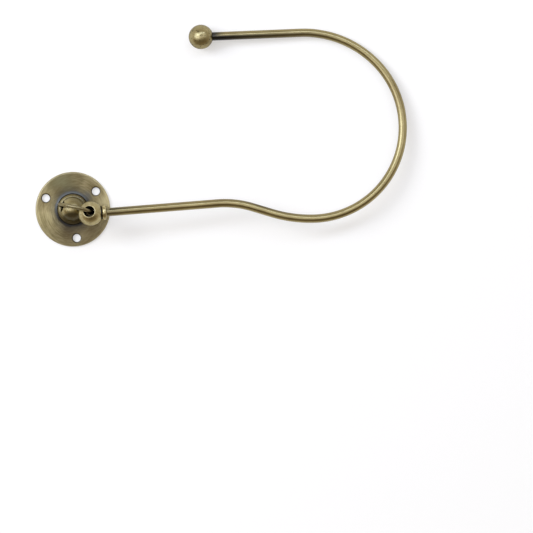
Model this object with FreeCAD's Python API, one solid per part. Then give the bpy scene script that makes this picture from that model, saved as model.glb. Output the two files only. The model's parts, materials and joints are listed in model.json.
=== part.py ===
import FreeCAD, Part
import math
import os

Vector = FreeCAD.Vector

# Sizes are in millimetres and angles in degrees.
# The part lies on its back: the wall face is the plane z = 0 and the plate is centred on the origin.

# Wall plate
plate_diameter = 50.0
plate_thickness = 2.0
plate_edge_round = 1.2
screw_count = 3
screw_circle_diameter = 39.0
screw_hole_diameter = 5.3
screw_hole_lip = 0.8
screw_pattern_turn = 37.8

# Riveted post: a dome on the plate that carries the first drilled ball
dome_diameter = 21.2
dome_height = 4.4
dome_flank = 0.2
dome_edge_share = 0.70      # round of the dome's edge, as a share of its height above the flank
tenon_diameter = 6.0
tenon_clearance = 0.05
rivet_head_height = 1.5
rivet_end_recess = 0.2

# Balls: one on the post, one on the arm and one as the finial
ball_diameter = 16.4
ring_hole_mouth_round = 0.5
ball_foot_diameter = 10.0
neck_diameter = 8.6
neck_length = 1.2
neck_root = 0.8             # how far the neck runs on into the ball

# Ring that links the two drilled balls
ring_wire_diameter = 2.5
ring_hole_play = 4.5        # room in the ball's hole for the curve of the wire
ring_spread = 113.8         # angle between the two balls, seen from the ring's centre
ring_hang = 1.7             # how far the wire's middle lies outside each ball's centre
ring_turn = -13.9           # direction of the ring, seen from the front
ring_lean = 4.4
ring_joint_gap = 0.3
ring_joint_place = 252.0    # where the wire's two ends meet, inside the post's ball
post_hole_fall = 15.2       # slope of the post's ring hole, down towards the arm

# Place of the arm's ball beside the post's ball
eye_bearing = -14.05
eye_rise = 39.6
ball_gap = 0.3
eye_roll = 6.2              # turn of the arm's ring hole about the rod
eye_hole_lean = 8.7         # lean of the arm's ring hole towards the post

# Collar on the arm's ball, and the rod
collar_diameter = 10.2
collar_length = 3.0
collar_edge_round = 1.2
rod_diameter = 5.6
socket_clearance = 0.05
eye_socket_depth = 4.5
finial_socket_depth = 6.0

# Bent line of the rod, from the centre of the arm's ball to the centre of the finial
lead_heading = 4.6
lead_length = 85.0
dip_bend_radius = 63.3
dip_bend_angle = -21.4
dip_length = 13.6
sweep_bend_radius = 89.0
sweep_bend_angle = 17.9
loop_bend_radius = 61.8
loop_bend_angle = 131.7
close_bend_radius = 67.0
close_bend_angle = 49.7
tail_length = 66.5

# Sizes that follow from those above
ball_radius = ball_diameter / 2
ring_hole_diameter = ring_wire_diameter + ring_hole_play
rod_radius = rod_diameter / 2
socket_radius = rod_radius + socket_clearance
neck_radius = neck_diameter / 2
dome_radius = dome_diameter / 2
dome_rise = dome_height - dome_flank
dome_edge_round = dome_edge_share * dome_rise
dome_edge_centre = dome_radius - dome_edge_round
dome_crown_drop = dome_rise - dome_edge_round
dome_crown_radius = dome_edge_round + (dome_edge_centre ** 2 + dome_crown_drop ** 2) / (2 * dome_crown_drop)
dome_crown_centre = plate_thickness + dome_height - dome_crown_radius
dome_top = dome_crown_centre + math.sqrt(dome_crown_radius ** 2 - neck_radius ** 2)
ball_foot_drop = math.sqrt(ball_radius ** 2 - (ball_foot_diameter / 2) ** 2)
post_ball_height = dome_top + neck_length + ball_foot_drop
collar_start = ball_foot_drop + neck_length
collar_end = collar_start + collar_length
eye_socket_floor = collar_end - eye_socket_depth
finial_socket_floor = ball_radius - finial_socket_depth


def turned(steps, axis_point, axis):
    """Solid turned about an axis from a closed outline of lines and three-point arcs."""
    edges = []
    start = steps[0]
    for step in steps[1:]:
        if isinstance(step, tuple):
            middle, end = step
            edges.append(Part.Arc(start, middle, end).toShape())
        else:
            end = step
            edges.append(Part.makeLine(start, end))
        start = end
    if not start.isEqual(steps[0], 0.000001):
        edges.append(Part.makeLine(start, steps[0]))
    face = Part.Face(Part.Wire(edges))
    return face.revolve(axis_point, axis, 360)


def on_circle(centre_x, centre_z, radius, angle):
    """Point on a circle in the XZ plane."""
    turn = math.radians(angle)
    return Vector(centre_x + radius * math.cos(turn), 0, centre_z + radius * math.sin(turn))


def placed(shape, origin, x_axis, z_axis):
    """Copy of a shape with its own X and Z axes along the given directions."""
    y_axis = z_axis.cross(x_axis)
    matrix = FreeCAD.Matrix(
        x_axis.x, y_axis.x, z_axis.x, origin.x,
        x_axis.y, y_axis.y, z_axis.y, origin.y,
        x_axis.z, y_axis.z, z_axis.z, origin.z,
        0, 0, 0, 1,
    )
    moved = shape.copy()
    moved.Placement = FreeCAD.Placement(matrix).multiply(shape.Placement)
    return moved


def make_wall_plate():
    """Round plate with a rounded front edge, screw holes and a countersunk hole for the post."""
    edge = plate_edge_round
    top = plate_thickness
    plate_radius = plate_diameter / 2
    outline = [
        Vector(0, 0, 0),
        Vector(plate_radius, 0, 0),
        Vector(plate_radius, 0, top - edge),
        (on_circle(plate_radius - edge, top - edge, edge, 45), Vector(plate_radius - edge, 0, top)),
        Vector(0, 0, top),
    ]
    plate = turned(outline, Vector(0, 0, 0), Vector(0, 0, 1))
    for number in range(screw_count):
        plate = plate.cut(screw_hole_cutter(screw_pattern_turn + number * 360 / screw_count))
    return plate.cut(post_hole_cutter())


def screw_hole_cutter(angle):
    """Straight hole with a softly rounded lip at the front."""
    radius = screw_hole_diameter / 2
    lip = screw_hole_lip
    top = plate_thickness
    outline = [
        Vector(0, 0, -1),
        Vector(radius, 0, -1),
        Vector(radius, 0, top - lip),
        (on_circle(radius + lip, top - lip, lip, 135), Vector(radius + lip, 0, top)),
        Vector(radius + lip, 0, top + 1),
        Vector(0, 0, top + 1),
    ]
    cutter = turned(outline, Vector(0, 0, 0), Vector(0, 0, 1))
    cutter.translate(on_pitch_circle(angle))
    return cutter


def on_pitch_circle(angle):
    turn = math.radians(angle)
    radius = screw_circle_diameter / 2
    return Vector(radius * math.cos(turn), radius * math.sin(turn), 0)


def post_hole_cutter():
    """Hole for the tenon, widened at the back to take the rivet head."""
    tenon_radius = tenon_diameter / 2
    hole_radius = tenon_radius + tenon_clearance
    back_radius = tenon_radius + rivet_head_height
    outline = [
        Vector(0, 0, -1),
        Vector(back_radius + 1, 0, -1),
        Vector(hole_radius, 0, back_radius - hole_radius),
        Vector(hole_radius, 0, plate_thickness + 1),
        Vector(0, 0, plate_thickness + 1),
    ]
    return turned(outline, Vector(0, 0, 0), Vector(0, 0, 1))


def make_drilled_ball(hole_lean):
    """Ball cut flat on its -X side, with a ring hole that leans from Z towards +X."""
    hole = ring_hole_diameter / 2
    mouth = ring_hole_mouth_round
    round_x = hole + mouth
    round_z = math.sqrt((ball_radius - mouth) ** 2 - round_x ** 2)
    slope = math.degrees(math.atan2(round_z, round_x))
    half_way = (slope + 180) / 2
    outline = [
        Vector(hole, 0, -round_z),
        Vector(hole, 0, round_z),
        (on_circle(round_x, round_z, mouth, half_way), on_circle(0, 0, ball_radius, slope)),
        (Vector(ball_radius, 0, 0), on_circle(0, 0, ball_radius, -slope)),
        (on_circle(round_x, -round_z, mouth, -half_way), Vector(hole, 0, -round_z)),
    ]
    ball = turned(outline, Vector(0, 0, 0), Vector(0, 0, 1))
    ball.rotate(Vector(0, 0, 0), Vector(0, 1, 0), hole_lean)
    beyond_foot = Part.makeBox(ball_diameter, 2 * ball_diameter, 2 * ball_diameter)
    beyond_foot.translate(Vector(-ball_foot_drop - ball_diameter, -ball_diameter, -ball_diameter))
    return ball.cut(beyond_foot)


def make_ball_post():
    """Drilled ball on a short neck and a dome, with a tenon riveted over in the plate's back."""
    tenon_radius = tenon_diameter / 2
    head_radius = tenon_radius + rivet_head_height
    flank_top = plate_thickness + dome_flank
    inside_ball = dome_top + neck_length + neck_root
    crown_start = 90 - math.degrees(math.asin(dome_edge_centre / (dome_crown_radius - dome_edge_round)))
    crown_end = 90 - math.degrees(math.asin(neck_radius / dome_crown_radius))
    crown_middle = (crown_start + crown_end) / 2
    outline = [
        Vector(0, 0, rivet_end_recess),
        Vector(head_radius - rivet_end_recess, 0, rivet_end_recess),
        Vector(tenon_radius, 0, rivet_head_height),
        Vector(tenon_radius, 0, plate_thickness),
        Vector(dome_radius, 0, plate_thickness),
        Vector(dome_radius, 0, flank_top),
        (on_circle(dome_edge_centre, flank_top, dome_edge_round, crown_start / 2),
         on_circle(dome_edge_centre, flank_top, dome_edge_round, crown_start)),
        (on_circle(0, dome_crown_centre, dome_crown_radius, crown_middle),
         on_circle(0, dome_crown_centre, dome_crown_radius, crown_end)),
        Vector(neck_radius, 0, inside_ball),
        Vector(0, 0, inside_ball),
    ]
    stem = turned(outline, Vector(0, 0, 0), Vector(0, 0, 1))
    drilled = make_drilled_ball(-post_hole_fall)
    ball = placed(drilled, post_ball_centre(), Vector(0, 0, 1), ring_across_direction())
    return ball.fuse(stem).removeSplitter()


def post_ball_centre():
    return Vector(0, 0, post_ball_height)


def ring_across_direction():
    turn = math.radians(ring_turn)
    return Vector(math.cos(turn), math.sin(turn), 0)


def eye_centre():
    """Centre of the arm's ball, which leans on the shoulder of the post's ball."""
    bearing = math.radians(eye_bearing)
    rise = math.radians(eye_rise)
    reach = ball_diameter + ball_gap
    level = reach * math.cos(rise)
    step = Vector(level * math.cos(bearing), level * math.sin(bearing), reach * math.sin(rise))
    return post_ball_centre() + step


def ring_up_direction():
    """Direction in the ring's plane, square to the one across."""
    lean = math.radians(ring_lean)
    sideways = Vector(0, 0, 1).cross(ring_across_direction())
    return Vector(0, 0, math.cos(lean)) + sideways * math.sin(lean)


def make_link_ring():
    """Round wire ring through both balls, with a fine gap where its ends meet."""
    across = ring_across_direction()
    up = ring_up_direction()
    step = eye_centre() - post_ball_centre()
    along_x = step.dot(across)
    along_z = step.dot(up)
    span = math.hypot(along_x, along_z)
    half_spread = math.radians(ring_spread / 2)
    to_balls = span / 2 / math.sin(half_spread)
    ring_radius = to_balls + ring_hang
    rise = to_balls * math.cos(half_spread) / span
    centre_x = along_x / 2 - along_z * rise
    centre_z = along_z / 2 + along_x * rise
    centre = post_ball_centre() + across * centre_x + up * centre_z
    gap_angle = math.degrees(ring_joint_gap / ring_radius)
    wire_end = Part.Wire(Part.makeCircle(ring_wire_diameter / 2, Vector(ring_radius, 0, 0), Vector(0, 1, 0)))
    ring = Part.Face(wire_end).revolve(Vector(0, 0, 0), Vector(0, 0, 1), 360 - gap_angle)
    ring.rotate(Vector(0, 0, 0), Vector(0, 0, 1), ring_joint_place + gap_angle / 2)
    return placed(ring, centre, across, across.cross(up))


def bent_line_stages():
    """Lengths of the straight runs, and radius and angle of the bends, in order from the arm's ball."""
    return [
        ("straight", lead_length),
        ("bend", dip_bend_radius, dip_bend_angle),
        ("straight", dip_length),
        ("bend", sweep_bend_radius, sweep_bend_angle),
        ("bend", loop_bend_radius, loop_bend_angle),
        ("bend", close_bend_radius, close_bend_angle),
        ("straight", tail_length),
    ]


def bent_line(start_trim, end_trim):
    """Edges of the rod's middle line in its own flat plane, and the end point and heading."""
    heading = math.radians(lead_heading)
    place = Vector(start_trim * math.cos(heading), start_trim * math.sin(heading), 0)
    stages = bent_line_stages()
    edges = []
    for number, stage in enumerate(stages):
        if stage[0] == "straight":
            length = stage[1]
            if number == 0:
                length = length - start_trim
            if number == len(stages) - 1:
                length = length - end_trim
            end = place + Vector(length * math.cos(heading), length * math.sin(heading), 0)
            edges.append(Part.makeLine(place, end))
        else:
            radius = math.copysign(stage[1], stage[2])
            sweep = math.radians(stage[2])
            centre = place + Vector(-radius * math.sin(heading), radius * math.cos(heading), 0)
            middle = bend_point(centre, radius, heading + sweep / 2)
            end = bend_point(centre, radius, heading + sweep)
            edges.append(Part.Arc(place, middle, end).toShape())
            heading = heading + sweep
        place = end
    return edges, place, heading


def bend_point(centre, radius, heading):
    return centre + Vector(radius * math.sin(heading), -radius * math.cos(heading), 0)


def resting_slopes():
    """Fall of the hook's plane along and across the arm, with finial and bend resting on z = 0."""
    height = eye_centre().z
    edges, finial, heading = bent_line(0, 0)
    bends = [edge.discretize(60) for edge in edges[:-1]]
    points = [point for bend in bends for point in bend]
    along = 0.0
    across = -height / finial.y
    for attempt in range(40):
        lowest = min(points, key=lambda point: point.x * along + point.y * across)
        spread = finial.x * lowest.y - finial.y * lowest.x
        finial_fall = ball_radius - height
        bend_fall = rod_radius - height
        along = (finial_fall * lowest.y - bend_fall * finial.y) / spread
        across = (bend_fall * finial.x - finial_fall * lowest.x) / spread
    return along, across


def arm_axes():
    """Directions along and across the hook's plane, and square to it."""
    along, across = resting_slopes()
    x_axis = Vector(math.sqrt(1 - along ** 2), 0, along)
    side_x = -along * across / x_axis.x
    y_axis = Vector(side_x, math.sqrt(1 - side_x ** 2 - across ** 2), across)
    return x_axis, y_axis, x_axis.cross(y_axis)


def rod_direction():
    x_axis, y_axis, z_axis = arm_axes()
    heading = math.radians(lead_heading)
    return x_axis * math.cos(heading) + y_axis * math.sin(heading)


def eye_side_direction():
    """Direction square to the rod, towards which the arm's ring hole opens."""
    x_axis, y_axis, z_axis = arm_axes()
    rod = rod_direction()
    roll = math.radians(eye_roll)
    return z_axis * math.cos(roll) + z_axis.cross(rod) * math.sin(roll)


def make_arm_eye():
    """Drilled ball with a grooved neck and a rounded collar that takes the rod."""
    radius = collar_diameter / 2
    edge = collar_edge_round
    outline = [
        Vector(0, 0, ball_foot_drop - neck_root),
        Vector(neck_radius, 0, ball_foot_drop - neck_root),
        Vector(neck_radius, 0, collar_start),
        Vector(radius - edge, 0, collar_start),
        (on_circle(radius - edge, collar_start + edge, edge, -45), Vector(radius, 0, collar_start + edge)),
        Vector(radius, 0, collar_end - edge),
        (on_circle(radius - edge, collar_end - edge, edge, 45), Vector(radius - edge, 0, collar_end)),
        Vector(0, 0, collar_end),
    ]
    stem = turned(outline, Vector(0, 0, 0), Vector(0, 0, 1))
    socket = Part.makeCylinder(socket_radius, eye_socket_depth + 1, Vector(0, 0, eye_socket_floor))
    rod = rod_direction()
    side = eye_side_direction()
    centre = eye_centre()
    ball = placed(make_drilled_ball(eye_hole_lean), centre, rod * -1, side)
    eye = ball.fuse(placed(stem, centre, side, rod)).removeSplitter()
    return eye.cut(placed(socket, centre, side, rod))


def make_hook_arm():
    """Round rod bent to the hook's outline in one flat plane."""
    x_axis, y_axis, z_axis = arm_axes()
    edges, end, heading = bent_line(eye_socket_floor, finial_socket_floor)
    start = edges[0].valueAt(edges[0].FirstParameter)
    direction = edges[0].tangentAt(edges[0].FirstParameter)
    section = Part.Wire(Part.makeCircle(rod_radius, start, direction))
    rod = Part.Wire(edges).makePipeShell([section], True, False)
    return placed(rod, eye_centre(), x_axis, z_axis)


def make_finial_ball():
    """Ball on the free end of the rod, with a blind hole for it."""
    x_axis, y_axis, z_axis = arm_axes()
    edges, finial, heading = bent_line(0, 0)
    centre = eye_centre() + x_axis * finial.x + y_axis * finial.y
    to_rod = (x_axis * math.cos(heading) + y_axis * math.sin(heading)) * -1
    ball = Part.makeSphere(ball_radius)
    socket = Part.makeCylinder(socket_radius, ball_diameter, Vector(0, 0, finial_socket_floor))
    return placed(ball.cut(socket), centre, z_axis, to_rod)


os.makedirs("parts", exist_ok=True)
make_wall_plate().exportStep("parts/wall_plate.step")
make_ball_post().exportStep("parts/ball_post.step")
make_link_ring().exportStep("parts/link_ring.step")
make_arm_eye().exportStep("parts/arm_eye.step")
make_hook_arm().exportStep("parts/hook_arm.step")
make_finial_ball().exportStep("parts/finial_ball.step")
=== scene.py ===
import bpy
import json
import math
from mathutils import Matrix, Vector


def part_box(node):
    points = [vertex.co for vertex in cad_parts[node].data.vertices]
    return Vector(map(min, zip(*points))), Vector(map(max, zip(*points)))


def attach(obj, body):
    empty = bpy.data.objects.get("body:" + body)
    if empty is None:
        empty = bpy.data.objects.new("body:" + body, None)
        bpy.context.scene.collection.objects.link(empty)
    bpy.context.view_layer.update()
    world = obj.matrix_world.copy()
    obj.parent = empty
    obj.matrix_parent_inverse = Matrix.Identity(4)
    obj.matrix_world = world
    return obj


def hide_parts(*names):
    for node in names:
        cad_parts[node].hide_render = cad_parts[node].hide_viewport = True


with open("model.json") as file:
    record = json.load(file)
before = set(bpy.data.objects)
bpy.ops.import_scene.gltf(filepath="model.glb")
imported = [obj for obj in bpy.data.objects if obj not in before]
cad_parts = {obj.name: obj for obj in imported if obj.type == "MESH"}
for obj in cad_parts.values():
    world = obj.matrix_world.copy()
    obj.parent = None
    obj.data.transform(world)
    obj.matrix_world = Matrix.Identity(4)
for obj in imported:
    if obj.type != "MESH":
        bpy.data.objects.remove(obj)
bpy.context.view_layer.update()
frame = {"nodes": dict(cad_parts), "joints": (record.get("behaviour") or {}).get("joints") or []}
nodes = frame["nodes"]
joints = {joint["name"]: joint for joint in frame["joints"]}
postBall = Vector(joints["ring_swing"]["pos_m"])      # centre of the ball on the plate
eyeBall = Vector(joints["arm_swing"]["pos_m"])        # centre of the ball on the arm
mm = 0.001
print("frame loaded:", ", ".join(sorted(nodes)))


def linearColour(hexCode):
    parts = [int(hexCode[place:place + 2], 16) / 255 for place in (1, 3, 5)]
    linear = [part / 12.92 if part <= 0.04045 else ((part + 0.055) / 1.055) ** 2.4 for part in parts]
    return (*linear, 1.0)


def addNode(tree, kind, inputs=None, **settings):
    node = tree.nodes.new(kind)
    for name, value in settings.items():
        setattr(node, name, value)
    for name, value in (inputs or {}).items():
        if isinstance(value, bpy.types.NodeSocket):
            tree.links.new(value, node.inputs[name])
        else:
            node.inputs[name].default_value = value
    return node


def calc(tree, operation, first, second=0.0):
    return addNode(tree, "ShaderNodeMath", {0: first, 1: second}, operation=operation).outputs[0]


def vectorCalc(tree, operation, first, second=(0, 0, 0)):
    node = addNode(tree, "ShaderNodeVectorMath", {0: first, 1: second}, operation=operation)
    return node.outputs["Value" if operation in ("LENGTH", "DISTANCE", "DOT_PRODUCT") else "Vector"]


def ramp(tree, value, low, high, start=0.0, end=1.0, smooth=False):
    return addNode(tree, "ShaderNodeMapRange",
                   {"Value": value, "From Min": low, "From Max": high, "To Min": start, "To Max": end},
                   interpolation_type="SMOOTHSTEP" if smooth else "LINEAR").outputs[0]


def blend(tree, share, first, second):
    return addNode(tree, "ShaderNodeMix", {0: share, 2: first, 3: second}, data_type="FLOAT").outputs[0]


def tint(tree, share, under, over):
    return addNode(tree, "ShaderNodeMix", {0: share, 6: under, 7: linearColour(over)},
                   data_type="RGBA").outputs[2]


def noise(tree, vector, scale, detail, roughness=0.5, distortion=0.0):
    return addNode(tree, "ShaderNodeTexNoise",
                   {"Vector": vector, "Scale": scale, "Detail": detail, "Roughness": roughness,
                    "Distortion": distortion}).outputs["Fac"]


def newMaterial(name):
    material = bpy.data.materials.new(name)
    material.use_nodes = True
    material.node_tree.nodes.clear()
    return material, material.node_tree


def dress(piece, material):
    piece.data.materials.clear()
    piece.data.materials.append(material)


def flatAim(degrees):
    turn = math.radians(degrees)
    return Vector((math.cos(turn), math.sin(turn), 0))


# thin clear lacquer over all the brass, thinner on the plate and where the balls are darkened:
# it makes the highlights pale, while the metal stays dark at its edges
lacquer = {"weight": 0.6, "plateWeight": 0.3, "darkenedWeight": 0.15, "roughness": 0.15, "density": 1.6,
           "edge": "#918862"}


def finishBrass(tree, paint, polish, bump, more=None):
    inputs = {"Base Color": paint, "Metallic": 1.0, "Roughness": polish, "Normal": bump,
              "Coat Weight": lacquer["weight"], "Coat Roughness": lacquer["roughness"],
              "Coat IOR": lacquer["density"], "Specular Tint": linearColour(lacquer["edge"])}
    inputs.update(more or {})
    shader = addNode(tree, "ShaderNodeBsdfPrincipled", inputs)
    addNode(tree, "ShaderNodeOutputMaterial", {"Surface": shader.outputs[0]})


# the hook lies in one sloping plane, with the bend and the finial on the table
hookPlane = {"fallAlong": -0.058333, "fallAcross": -0.099834}

# the rod, bent from one straight length, sizes in mm and degrees
rodShape = {
    "radius": 2.8, "sides": 48, "bendStep": 2.0, "leastSteps": 3, "smooth": 40,
    "heading": 4.6, "startTrim": 6.2, "endTrim": 2.2, "finialSocket": 6.0,
    "runs": [
        ("straight", 85.0), ("bend", 63.3, -21.4), ("straight", 13.6), ("bend", 89.0, 17.9),
        ("bend", 61.8, 131.7), ("bend", 67.0, 49.7), ("straight", 66.5),
    ],
}


def hookMatrix():
    along, across = hookPlane["fallAlong"], hookPlane["fallAcross"]
    xAxis = Vector((math.sqrt(1 - along ** 2), 0, along))
    sideX = -along * across / xAxis.x
    yAxis = Vector((sideX, math.sqrt(1 - sideX ** 2 - across ** 2), across))
    turn = Matrix((xAxis, yAxis, xAxis.cross(yAxis))).transposed()
    return Matrix.Translation(eyeBall) @ turn.to_4x4()


def bendRod():
    heading = math.radians(rodShape["heading"])
    place = Vector((math.cos(heading), math.sin(heading), 0)) * rodShape["startTrim"] * mm
    reach = rodShape["startTrim"]
    reaches = [reach]
    headings = [heading]
    bpy.ops.object.select_all(action="DESELECT")
    bpy.ops.mesh.primitive_circle_add(
        vertices=rodShape["sides"], radius=rodShape["radius"] * mm, fill_type="NGON",
        location=place, rotation=(0, math.pi / 2, heading))
    rod = bpy.context.object
    rod.name = "bent_rod"
    bpy.ops.object.transform_apply(location=True, rotation=True, scale=True)
    bpy.ops.object.mode_set(mode="EDIT")
    bpy.ops.mesh.select_all(action="SELECT")
    for number, run in enumerate(rodShape["runs"]):
        if run[0] == "straight":
            length = run[1]
            if number == 0:
                length = length - rodShape["startTrim"]
            if number == len(rodShape["runs"]) - 1:
                length = length - rodShape["endTrim"]
            step = Vector((math.cos(heading), math.sin(heading), 0)) * length * mm
            bpy.ops.mesh.extrude_region_move(TRANSFORM_OT_translate={"value": step})
            place = place + step
            reach = reach + length
            reaches.append(reach)
            headings.append(heading)
        else:
            sweep = math.radians(run[2])
            radius = math.copysign(run[1], run[2]) * mm
            centre = place + Vector((-math.sin(heading), math.cos(heading), 0)) * radius
            steps = max(rodShape["leastSteps"], round(abs(run[2]) / rodShape["bendStep"]))
            # spin turns left-handed
            bpy.ops.mesh.spin(steps=steps, angle=-sweep, center=centre, axis=(0, 0, 1))
            for part in range(steps):
                reaches.append(reach + abs(sweep) * run[1] * (part + 1) / steps)
                headings.append(heading + sweep * (part + 1) / steps)
            heading = heading + sweep
            reach = reaches[-1]
            place = centre - Vector((-math.sin(heading), math.cos(heading), 0)) * radius
    bpy.ops.object.mode_set(mode="OBJECT")
    layRod(rod, reaches, headings)
    rod.data.transform(hookMatrix())
    bpy.ops.object.shade_smooth_by_angle(angle=math.radians(rodShape["smooth"]))
    return rod, reach


def layRod(rod, reaches, headings):      # how far along the rod each point is, and on which side of it
    sides = rodShape["sides"]
    lay = rod.data.attributes.new("rodLay", "FLOAT_VECTOR", "POINT")
    for number, heading in enumerate(headings):
        ring = [rod.data.vertices[number * sides + side].co for side in range(sides)]
        middle = sum(ring, Vector()) / sides
        left = Vector((-math.sin(heading), math.cos(heading), 0))
        for side, point in enumerate(ring):
            out = (point - middle) / (rodShape["radius"] * mm)
            lay.data[number * sides + side].vector = (reaches[number], out.dot(left), out.z)


rod, rodLength = bendRod()
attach(rod, "arm")
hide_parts("hook_arm")
print("rod bent,", round(rodLength), "mm along its middle,", len(rod.data.polygons), "faces")

# directions of the rod at its two ends and of the two ring holes, and the finial's centre
rodTurn = hookMatrix().to_3x3()
tailHeading = rodShape["heading"] + sum(run[2] for run in rodShape["runs"] if run[0] == "bend")
leadAim = rodTurn @ flatAim(rodShape["heading"])
tailAim = rodTurn @ flatAim(tailHeading - 180)
eyeAim = Vector(joints["arm_swing"]["axis"])
postAim = Vector(joints["ring_swing"]["axis"])
finialLow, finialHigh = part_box("finial_ball")
finialBall = (finialLow + finialHigh) / 2


# brass plate, ground in circles, toned dark and rubbed back:
# fine arcs that catch the light in two fans, painted shade beside the fans, a painted highlight on the rim,
# patches of painted shade and sheen, and dark toning round the dome, with painted shade fading outwards
# from it and a blue-grey painted reflection of the sky above it
plateLook = {
    "brass": "#b3a77b", "dull": "#7a6f48", "brown": "#57441e", "olive": "#6c6d4c", "paleSheen": "#cfc59c",
    # the first colour is the sky's blue-grey painted reflection on the toning, the second painted shade round
    # the dome's foot, the last toning and the screw holes' painted shade
    "toning": "#6d7272", "footShade": "#2e2d2a", "dark": "#1d1811",
    "arc": 0.9, "arcLength": 16.0, "arcRadius": 18.0,      # mm, coarser than real so that they show
    "arcCentres": [(5, 2), (-4, -5)], "arcDepth": 0.003, "arcStrength": 0.6,
    "grind": (0.34, 0.50), "grindFrom": (0.25, 0.75), "brushed": 0.9, "quarterTurn": 0.25,
    "mottle": 7.0, "mottleShare": 0.3, "bareFrom": (0.42, 0.58),
    # painted shade: brown away from a line at this angle, where the brushed plate reflects less light than in
    # the fans along it
    "sheenAim": 17, "sheenReach": (0.95, 0.45), "offSheenShade": 0.5,
    # a pale rim, the painted highlight of the rounded edge
    "rimStart": 23.7, "rimEnd": 24.5, "rimShare": 0.5,
    # painted shade round the dome's foot, fading outwards
    "footShadeEnd": 17.5, "footShadeShare": 0.42,
    "toningEnd": 12.4, "toningSoft": (0.3, -1.2), "toningWander": 0.5, "wanderFrom": (0.25, 0.75),
    # a blue-grey painted reflection of the sky on the toning above the dome
    "skyReflectionAim": (-0.35, 0.94, 0), "skyReflectionReach": (-0.3, 0.6), "skyReflectionFrom": (0.3, 0.6), "skyReflectionLeast": 0.4,
    # painted shade on the walls of the screw holes, this far out from their edge
    "holeCount": 3, "holeCircle": 19.5, "holeTurn": 37.8, "holeEdge": 2.65, "holeShadeReach": 0.9,
    # patches of painted shade and painted sheen, darker or paler where the plate reflects less or more light
    "shadeAndSheenPatches": [{"at": (15, -17), "reach": 14, "share": 0.45, "tint": "brown"},
                {"at": (-19, 5), "reach": 13, "share": 0.5, "tint": "brown"},
                {"at": (12, 15), "reach": 8, "share": 0.4, "tint": "brown"},
                {"at": (21, 3), "reach": 11, "share": 0.42, "tint": "paleSheen"},
                {"at": (-8, 17), "reach": 14, "share": 0.55, "tint": "olive"},
                {"at": (14.5, 10), "reach": 9, "share": 0.55, "tint": "brown"},
                {"at": (9.5, 8.5), "reach": 5.5, "share": 0.55, "tint": "toning"},
                {"at": (-9, 12), "reach": 8, "share": 0.5, "tint": "brown"},
                {"at": (-2, -15), "reach": 9, "share": 0.45, "tint": "brown"}],
}


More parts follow.
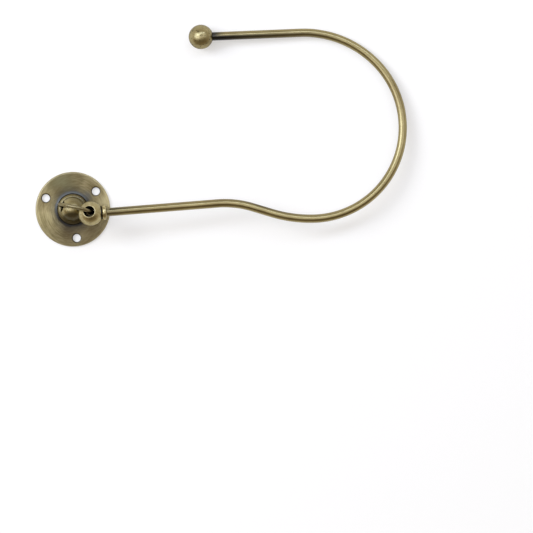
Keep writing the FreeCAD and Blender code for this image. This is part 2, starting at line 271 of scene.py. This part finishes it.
def plateBrass():
    look = plateLook
    material, tree = newMaterial("agedBrassGroundInCircles")
    coords = addNode(tree, "ShaderNodeTexCoord").outputs["Object"]
    flat = vectorCalc(tree, "MULTIPLY", coords, (1, 1, 0))
    reach = vectorCalc(tree, "LENGTH", flat)
    outward = vectorCalc(tree, "NORMALIZE", flat)
    turns = look["arcRadius"] / look["arcLength"]
    sets = []
    for centre in look["arcCentres"]:      # two sets of arcs that cross at a small angle
        offset = vectorCalc(tree, "SUBTRACT", flat, Vector((*centre, 0)) * mm)
        swirl = vectorCalc(tree, "MULTIPLY", vectorCalc(tree, "NORMALIZE", offset), (turns, turns, turns))
        rings = calc(tree, "MULTIPLY", vectorCalc(tree, "LENGTH", offset), 1 / (look["arc"] * mm))
        lift = addNode(tree, "ShaderNodeCombineXYZ", {"Z": rings}).outputs[0]
        sets.append(noise(tree, vectorCalc(tree, "ADD", swirl, lift), scale=1.0, detail=3.0, roughness=0.7))
    arcs = blend(tree, 0.5, *sets)
    mottle = noise(tree, coords, scale=1 / (look["mottle"] * mm), detail=4.0, roughness=0.55)

    # bare brass, dulled in patches and along the arcs; brown away from the fans as painted shade,
    # patches of painted shade and sheen, and a painted highlight along the rim
    rub = blend(tree, look["mottleShare"], arcs, mottle)
    metal = tint(tree, ramp(tree, rub, *look["bareFrom"]), linearColour(look["dull"]), look["brass"])
    alongSheen = calc(tree, "ABSOLUTE", vectorCalc(tree, "DOT_PRODUCT", outward, flatAim(look["sheenAim"])))
    metal = tint(tree, ramp(tree, alongSheen, *look["sheenReach"], end=look["offSheenShade"]), metal, look["brown"])
    # painted shade and painted sheen in patches
    for patch in look["shadeAndSheenPatches"]:
        away = vectorCalc(tree, "DISTANCE", flat, Vector((*patch["at"], 0)) * mm)
        near = ramp(tree, away, patch["reach"] * mm, 0.0, end=patch["share"], smooth=True)
        metal = tint(tree, near, metal, look[patch["tint"]])
    # painted highlight along the rounded edge of the plate
    rimHighlight = ramp(tree, reach, look["rimStart"] * mm, look["rimEnd"] * mm, end=look["rimShare"])
    metal = tint(tree, rimHighlight, metal, look["paleSheen"])

    # toning round the dome, painted shade round its foot that fades out over the plate,
    # a blue-grey painted reflection of the sky on the toning above the dome, and painted shade in the screw
    # holes
    footShade = ramp(tree, reach, look["footShadeEnd"] * mm, look["toningEnd"] * mm, end=look["footShadeShare"], smooth=True)
    metal = tint(tree, footShade, metal, look["footShade"])
    most = look["toningWander"] * mm
    ragged = calc(tree, "ADD", reach, ramp(tree, mottle, *look["wanderFrom"], start=-most, end=most))
    edges = [(look["toningEnd"] + soft) * mm for soft in look["toningSoft"]]
    darkened = ramp(tree, ragged, *edges)
    metal = tint(tree, darkened, metal, look["dark"])
    # painted reflection: the toning above the dome takes the sky's blue-grey
    above = ramp(tree, vectorCalc(tree, "DOT_PRODUCT", outward, look["skyReflectionAim"]), *look["skyReflectionReach"])
    broken = ramp(tree, mottle, *look["skyReflectionFrom"], start=look["skyReflectionLeast"])
    skyReflection = calc(tree, "MULTIPLY", darkened, calc(tree, "MULTIPLY", above, broken))
    metal = tint(tree, skyReflection, metal, look["toning"])
    # painted shade on the walls of the screw holes
    holeShade = 0.0
    for number in range(look["holeCount"]):
        hole = flatAim(look["holeTurn"] + number * 360 / look["holeCount"]) * look["holeCircle"] * mm
        away = vectorCalc(tree, "DISTANCE", flat, hole)
        near = ramp(tree, away, (look["holeEdge"] + look["holeShadeReach"]) * mm, look["holeEdge"] * mm)
        holeShade = calc(tree, "MAXIMUM", holeShade, near)
    paint = tint(tree, holeShade, metal, look["dark"])

    polish = ramp(tree, arcs, *look["grindFrom"], *look["grind"])
    bump = addNode(tree, "ShaderNodeBump", {"Height": arcs, "Strength": look["arcStrength"],
                                            "Distance": look["arcDepth"] * mm}).outputs[0]
    around = addNode(tree, "ShaderNodeTangent", direction_type="RADIAL", axis="Z").outputs[0]
    finishBrass(tree, paint, polish, bump,
                {"Anisotropic": look["brushed"], "Anisotropic Rotation": look["quarterTurn"],
                 "Tangent": around, "Coat Weight": lacquer["plateWeight"]})
    return material


# turned brass balls, satin polished over dark toning:
# soft round highlights, brown-black left in the grooves and seams, painted shade in the ring holes
# and on the post's shaded sides, browner in patches, dark flecks
ballLook = {
    # one brass in four copies, lighter on the eye and darker on the wire, painting how much light each piece
    # catches
    "post": ("#a6996b", "#8b7e51"), "eye": ("#baad7e", "#9b8e60"),
    "finial": ("#a4976a", "#897c50"), "wire": ("#8b805a", "#726843"),
    "brown": "#6e5c34", "toning": "#16120d",
    "mottle": 5.0, "bareFrom": (0.3, 0.62), "brokenFrom": (0.2, 0.55), "brokenLeast": 0.65,
    "patch": 14.0, "patchFrom": (0.5, 0.7), "patchShare": 0.35,
    "fleck": 1.6, "fleckFrom": (0.57, 0.72),
    "fleckShare": {"post": 0.45, "eye": 0.45, "finial": 0.75, "wire": 0.45},
    "scratch": 0.8, "scratchDepth": 0.006, "scratchStrength": 0.35,
    "polish": (0.40, 0.30), "polishFrom": (0.3, 0.7), "darkenedPolish": 0.5, "underSoft": 0.3,
}


def ballBrass(name, piece, bands, bores):
    look = ballLook
    brass, dull = look[piece]
    material, tree = newMaterial(name)
    coords = addNode(tree, "ShaderNodeTexCoord").outputs["Object"]
    mottle = noise(tree, coords, scale=1 / (look["mottle"] * mm), detail=4.0, roughness=0.55)
    patch = noise(tree, coords, scale=1 / (look["patch"] * mm), detail=2.0)
    pits = noise(tree, coords, scale=1 / (look["fleck"] * mm), detail=2.0)
    scratch = noise(tree, coords, scale=1 / (look["scratch"] * mm), detail=3.0, roughness=0.7, distortion=1.5)
    metal = tint(tree, ramp(tree, mottle, *look["bareFrom"]), linearColour(dull), brass)
    browner = ramp(tree, patch, *look["patchFrom"], end=look["patchShare"])
    metal = tint(tree, browner, metal, look["brown"])
    darkened = boreShade = 0.0
    for band in bands:      # a band square to an axis, between two places along it
        offset = vectorCalc(tree, "SUBTRACT", coords, band["at"])
        along = vectorCalc(tree, "DOT_PRODUCT", offset, band["aim"])
        rise = ramp(tree, along, (band["from"] - band["soft"][0]) * mm, band["from"] * mm, end=band["share"])
        fall = ramp(tree, along, (band["to"] + band["soft"][1]) * mm, band["to"] * mm)
        both = calc(tree, "MULTIPLY", rise, fall)
        if "under" in band:      # only up to this height
            height = addNode(tree, "ShaderNodeSeparateXYZ", {0: coords}).outputs["Z"]
            low = ramp(tree, height, (band["under"] + look["underSoft"]) * mm, band["under"] * mm)
            both = calc(tree, "MULTIPLY", both, low)
        darkened = calc(tree, "MAXIMUM", darkened, both)
    for bore in bores:      # painted shade round the axis of a ring hole, down in the hole
        offset = vectorCalc(tree, "SUBTRACT", coords, bore["at"])
        onAxis = vectorCalc(tree, "PROJECT", offset, bore["aim"])
        away = vectorCalc(tree, "DISTANCE", offset, onAxis)
        near = ramp(tree, away, bore["end"] * mm, bore["radius"] * mm)
        deep = ramp(tree, vectorCalc(tree, "LENGTH", onAxis), bore["dark"][1] * mm, bore["dark"][0] * mm)
        boreShade = calc(tree, "MAXIMUM", boreShade, calc(tree, "MULTIPLY", near, deep))
    broken = ramp(tree, mottle, *look["brokenFrom"], start=look["brokenLeast"])
    darkened = calc(tree, "MULTIPLY", darkened, broken)
    flecked = ramp(tree, pits, *look["fleckFrom"], end=look["fleckShare"][piece])
    darkened = calc(tree, "MAXIMUM", darkened, flecked)
    darkened = calc(tree, "MAXIMUM", darkened, boreShade)
    paint = tint(tree, darkened, metal, look["toning"])
    worn = ramp(tree, mottle, *look["polishFrom"], *look["polish"])
    polish = blend(tree, darkened, worn, look["darkenedPolish"])
    bump = addNode(tree, "ShaderNodeBump", {"Height": scratch, "Strength": look["scratchStrength"],
                                            "Distance": look["scratchDepth"] * mm}).outputs[0]
    coat = ramp(tree, darkened, 0.0, 1.0, lacquer["weight"], lacquer["darkenedWeight"])
    finishBrass(tree, paint, polish, bump, {"Coat Weight": coat})
    return material


# drawn brass rod, bent and satin polished over dark toning:
# faint lines along its length, dark streaks beside the collar and over the dip,
# nearly black beside the finial and fading along one side
rodLook = {
    "brass": "#a6996a", "dull": "#8b7e51", "brown": "#6e5c34", "toning": "#17140f",
    "line": 0.9, "lineLength": 25.0,      # mm, coarser than real so that they show
    "lineDepth": 0.002, "lineStrength": 0.5,
    "mottle": 6.0, "bareFrom": (0.6, 1.3), "patch": 30.0, "patchFrom": (0.45, 0.7), "patchShare": 0.45,
    "polish": (0.26, 0.32), "polishFrom": (0.25, 0.75), "darkenedPolish": 0.45,
    "finialDark": 9.0, "finialShare": 0.95, "finialFade": 95.0, "fadeStop": 6.0, "sideSoft": 0.2,
    "streaks": [{"start": 12.0, "from": 13.0, "to": 44.0, "left": 0.58, "wide": 0.24, "core": 0.08,
                 "share": 1.0},
                {"start": 86.0, "from": 112.0, "to": 162.0, "left": 0.8, "wide": 0.36, "core": 0.12,
                 "share": 0.65}],
    "collarShade": {"from": 13.0, "to": 42.0, "share": 0.35},
}


def rodBrass(darkEnd):
    look = rodLook
    material, tree = newMaterial("agedBrassDrawnRod")
    lay = addNode(tree, "ShaderNodeAttribute", attribute_name="rodLay").outputs["Vector"]
    parts = addNode(tree, "ShaderNodeSeparateXYZ", {0: lay})
    along, left = parts.outputs["X"], parts.outputs["Y"]
    around = rodShape["radius"] / look["line"]
    drawn = vectorCalc(tree, "MULTIPLY", lay, (1 / look["lineLength"], around, around))
    lines = noise(tree, drawn, scale=1.0, detail=3.0, roughness=0.6)
    coords = addNode(tree, "ShaderNodeTexCoord").outputs["Object"]
    mottle = noise(tree, coords, scale=1 / (look["mottle"] * mm), detail=4.0, roughness=0.55)
    patch = noise(tree, coords, scale=1 / (look["patch"] * mm), detail=2.0)
    bare = ramp(tree, calc(tree, "ADD", lines, mottle), *look["bareFrom"])
    metal = tint(tree, bare, linearColour(look["dull"]), look["brass"])
    browner = ramp(tree, patch, *look["patchFrom"], end=look["patchShare"])
    metal = tint(tree, browner, metal, look["brown"])

    # all round close to the finial, further along the side that lies towards the loop
    close = ramp(tree, along, darkEnd - look["finialDark"], darkEnd, end=look["finialShare"], smooth=True)
    fade = ramp(tree, along, darkEnd - look["finialFade"], darkEnd - look["fadeStop"])
    side = ramp(tree, left, -look["sideSoft"], look["sideSoft"])
    darkened = calc(tree, "MAXIMUM", close, calc(tree, "MULTIPLY", fade, side))
    # streaks on the upper side where the hook lies, one tapering away from the collar and one over the dip
    for streak in look["streaks"]:
        offSide = calc(tree, "ABSOLUTE", calc(tree, "SUBTRACT", left, streak["left"]))
        narrow = ramp(tree, offSide, streak["wide"], streak["core"])
        swell = ramp(tree, along, streak["start"], streak["from"])
        taper = ramp(tree, along, streak["to"], streak["from"], end=streak["share"])
        marked = calc(tree, "MULTIPLY", calc(tree, "MULTIPLY", narrow, taper), swell)
        darkened = calc(tree, "MAXIMUM", darkened, marked)
    shade = look["collarShade"]
    shaded = ramp(tree, along, shade["to"], shade["from"], end=shade["share"])
    darkened = calc(tree, "MAXIMUM", darkened, shaded)
    paint = tint(tree, darkened, metal, look["toning"])
    worn = ramp(tree, lines, *look["polishFrom"], *look["polish"])
    polish = blend(tree, darkened, worn, look["darkenedPolish"])
    bump = addNode(tree, "ShaderNodeBump", {"Height": lines, "Strength": look["lineStrength"],
                                            "Distance": look["lineDepth"] * mm}).outputs[0]
    finishBrass(tree, paint, polish, bump)
    return material


# where each turned piece is darkened, in mm along an axis or from it: toning in the grooves and seams,
# painted shade in the ring holes and on the post where less light falls
plateCentre = Vector()
up = Vector((0, 0, 1))
# away from the lamps: painted shade on the post's dome
shadySide = Vector((0.766, -0.643, 0))
# towards the dark front, whose painted reflection darkens the post's ball
darkFrontAim = Vector((0, -0.9, 0.436))
# towards the eye, whose painted shadow darkens the post's ball
eyeShadowAim = Vector((0.75, 0.66, 0))
turnedPieces = {
    "ball_post": {
        "name": "agedBrassTurnedPost", "piece": "post",
        # the dark front's painted reflection on the ball's front, and the eye's painted shadow on the ball
        # beside it
        # toning at the dome's foot and in the neck, with painted shade there too; painted shade on the dome's
        # side away from the lamps and under the ball
        "bands": [      # dome's foot, dome, neck, ball's underside, ball's front, ball beside the eye
            {"at": plateCentre, "aim": up, "from": 0.0, "to": 3.7, "soft": (0.7, 0.7), "share": 1.0},
            {"at": plateCentre, "aim": shadySide, "from": 2.0, "to": 12.0, "soft": (20.0, 1.0), "share": 0.78,
             "under": 6.5},
            {"at": plateCentre, "aim": up, "from": 5.9, "to": 7.4, "soft": (0.5, 0.5), "share": 1.0},
            {"at": plateCentre, "aim": up, "from": 7.4, "to": 10.0, "soft": (0.4, 7.0), "share": 1.0},
            {"at": postBall, "aim": darkFrontAim, "from": 6.2, "to": 9.0, "soft": (1.4, 1.0), "share": 0.8},
            {"at": postBall, "aim": eyeShadowAim, "from": 6.0, "to": 9.0, "soft": (6.0, 1.0), "share": 0.5}],
        # painted shade down in the ring hole
        "bores": [{"at": postBall, "aim": postAim, "radius": 3.52, "end": 3.7, "dark": (6.5, 7.4)}]},
    "arm_eye": {
        "name": "agedBrassTurnedEye", "piece": "eye",
        "bands": [      # groove, and where the rod enters the collar
            {"at": eyeBall, "aim": leadAim, "from": 6.9, "to": 7.6, "soft": (0.3, 0.3), "share": 1.0},
            {"at": eyeBall, "aim": leadAim, "from": 10.6, "to": 12.0, "soft": (0.3, 0.3), "share": 1.0}],
        # painted shade down in the ring hole
        "bores": [{"at": eyeBall, "aim": eyeAim, "radius": 3.55, "end": 3.85, "dark": (6.8, 7.6)}]},
    "finial_ball": {
        "name": "agedBrassTurnedFinial", "piece": "finial",
        "bands": [      # where the rod enters
            {"at": finialBall, "aim": tailAim, "from": 7.7, "to": 9.0, "soft": (0.5, 0.5), "share": 1.0}],
        "bores": []},
    "link_ring": {
        "name": "agedBrassWireRing", "piece": "wire",
        "bands": [],
        # painted shade on the wire where it runs through the two ring holes
        "bores": [{"at": postBall, "aim": postAim, "radius": 2.9, "end": 3.5, "dark": (5.5, 7.0)},
                  {"at": eyeBall, "aim": eyeAim, "radius": 3.2, "end": 6.0, "dark": (6.0, 9.5)}]},
}

dress(nodes["wall_plate"], plateBrass())
for node, finish in turnedPieces.items():
    dress(nodes[node], ballBrass(**finish))
dress(rod, rodBrass(rodLength - rodShape["finialSocket"]))
print("brass finishes mixed")


# white table, bright all over, that keeps the object's shadow
table = {"size": 8.0, "drop": 0.0002, "white": "#dfdedb", "glow": 0.38, "glowStrength": 1.17}


def layTable():
    bpy.ops.object.select_all(action="DESELECT")
    bpy.ops.mesh.primitive_plane_add(size=table["size"], location=(0, 0, -table["drop"]))
    top = bpy.context.object
    top.name = "table_top"
    material, tree = newMaterial("whiteTable")
    paper = addNode(tree, "ShaderNodeBsdfDiffuse", {"Color": linearColour(table["white"])}).outputs[0]
    glow = addNode(tree, "ShaderNodeEmission",
                   {"Color": (1, 1, 1, 1), "Strength": table["glowStrength"]}).outputs[0]
    rays = addNode(tree, "ShaderNodeLightPath").outputs
    seen = calc(tree, "MAXIMUM", rays["Is Camera Ray"], rays["Is Glossy Ray"])
    seen = calc(tree, "MAXIMUM", seen, rays["Is Transmission Ray"])
    share = calc(tree, "MULTIPLY", seen, table["glow"])
    mix = addNode(tree, "ShaderNodeMixShader", {0: share, 1: paper, 2: glow}).outputs[0]
    addNode(tree, "ShaderNodeOutputMaterial", {"Surface": mix})
    dress(top, material)


# soft studio: pale walls, darker above and at the front where the photographer stands, cool lamps
studio = {
    "low": 0.92, "high": 0.42, "highFrom": 0.7, "front": 0.5, "frontFrom": -0.6, "frontTo": 0.1,
    "frontTint": "#ffe6c4", "wallTint": "#fff6ea", "target": (0.1, 0.04, 0),
    "boxes": [
        {"name": "overheadStrip", "turn": 108, "fromTop": 32, "far": 2.0, "long": 4.4, "deep": 0.5, "lie": 18,
         "glow": 3.8, "tint": "#dde8ff"},
        {"name": "ceilingPanel", "turn": 0, "fromTop": 0, "far": 2.0, "long": 5.0, "deep": 0.9, "lie": 17,
         "glow": 1.15, "tint": "#f4f6ff"},
        {"name": "leftBox", "turn": 164, "fromTop": 47, "far": 3.0, "long": 2.2, "deep": 2.0, "lie": 76,
         "glow": 2.0, "tint": "#e2eaff"},
        {"name": "leftFill", "turn": 168, "fromTop": 20, "far": 3.0, "long": 2.0, "deep": 0.7, "lie": 80,
         "glow": 1.5, "tint": "#e8eeff"},
        # draws the shadows and is kept out of the brass
        {"name": "shadowBox", "turn": 160, "fromTop": 50, "far": 3.0, "long": 1.1, "deep": 1.1, "lie": 76,
         "glow": 10.0, "tint": "#ffffff", "mirrored": False},
    ],
}


def hangLights():
    world = bpy.data.worlds.new("softStudio")
    bpy.context.scene.world = world
    world.use_nodes = True
    tree = world.node_tree
    tree.nodes.clear()
    generated = addNode(tree, "ShaderNodeTexCoord").outputs["Generated"]
    parts = addNode(tree, "ShaderNodeSeparateXYZ", {0: generated}).outputs
    rise = ramp(tree, parts["Z"], 0.0, studio["highFrom"], studio["low"], studio["high"], smooth=True)
    back = ramp(tree, parts["Y"], studio["frontFrom"], studio["frontTo"], smooth=True)
    level = calc(tree, "MULTIPLY", rise, ramp(tree, back, 0.0, 1.0, start=studio["front"]))
    colour = tint(tree, back, linearColour(studio["frontTint"]), studio["wallTint"])
    walls = addNode(tree, "ShaderNodeBackground", {"Color": colour, "Strength": level}).outputs[0]
    addNode(tree, "ShaderNodeOutputWorld", {"Surface": walls})
    for box in studio["boxes"]:
        turn, tilt = math.radians(box["turn"]), math.radians(box["fromTop"])
        aim = Vector((math.sin(tilt) * math.cos(turn), math.sin(tilt) * math.sin(turn), math.cos(tilt)))
        lamp = bpy.data.lights.new(box["name"], "AREA")
        lamp.shape = "RECTANGLE"
        lamp.size, lamp.size_y = box["long"], box["deep"]
        lamp.color = linearColour(box["tint"])[:3]
        lamp.energy = box["glow"] * math.pi * box["long"] * box["deep"]
        light = bpy.data.objects.new(box["name"], lamp)
        light.location = Vector(studio["target"]) + aim * box["far"]
        across = aim.cross(flatAim(box["lie"])).normalized()
        light.rotation_euler = Matrix((across.cross(aim), across, aim)).transposed().to_euler()
        light.visible_camera = False
        light.visible_glossy = box.get("mirrored", True)
        bpy.context.scene.collection.objects.link(light)


# straight down from far above, so that the round parts stay round; lens and film in mm, the rest in metres
shot = {"lens": 400.0, "film": 36.0, "clip": 50.0, "width": 0.35676, "centre": (0.12976, -0.03842),
        "level": 0.006}


def placeCamera():
    data = bpy.data.cameras.new("tableCamera")
    data.lens, data.sensor_width = shot["lens"], shot["film"]
    data.clip_end = shot["clip"]
    camera = bpy.data.objects.new("tableCamera", data)
    far = shot["width"] * shot["lens"] / shot["film"]
    camera.location = (*shot["centre"], far + shot["level"])
    bpy.context.scene.collection.objects.link(camera)
    bpy.context.scene.camera = camera


layTable()
hangLights()
placeCamera()
bpy.context.scene.view_settings.view_transform = "Standard"
print("table, lights and camera placed")
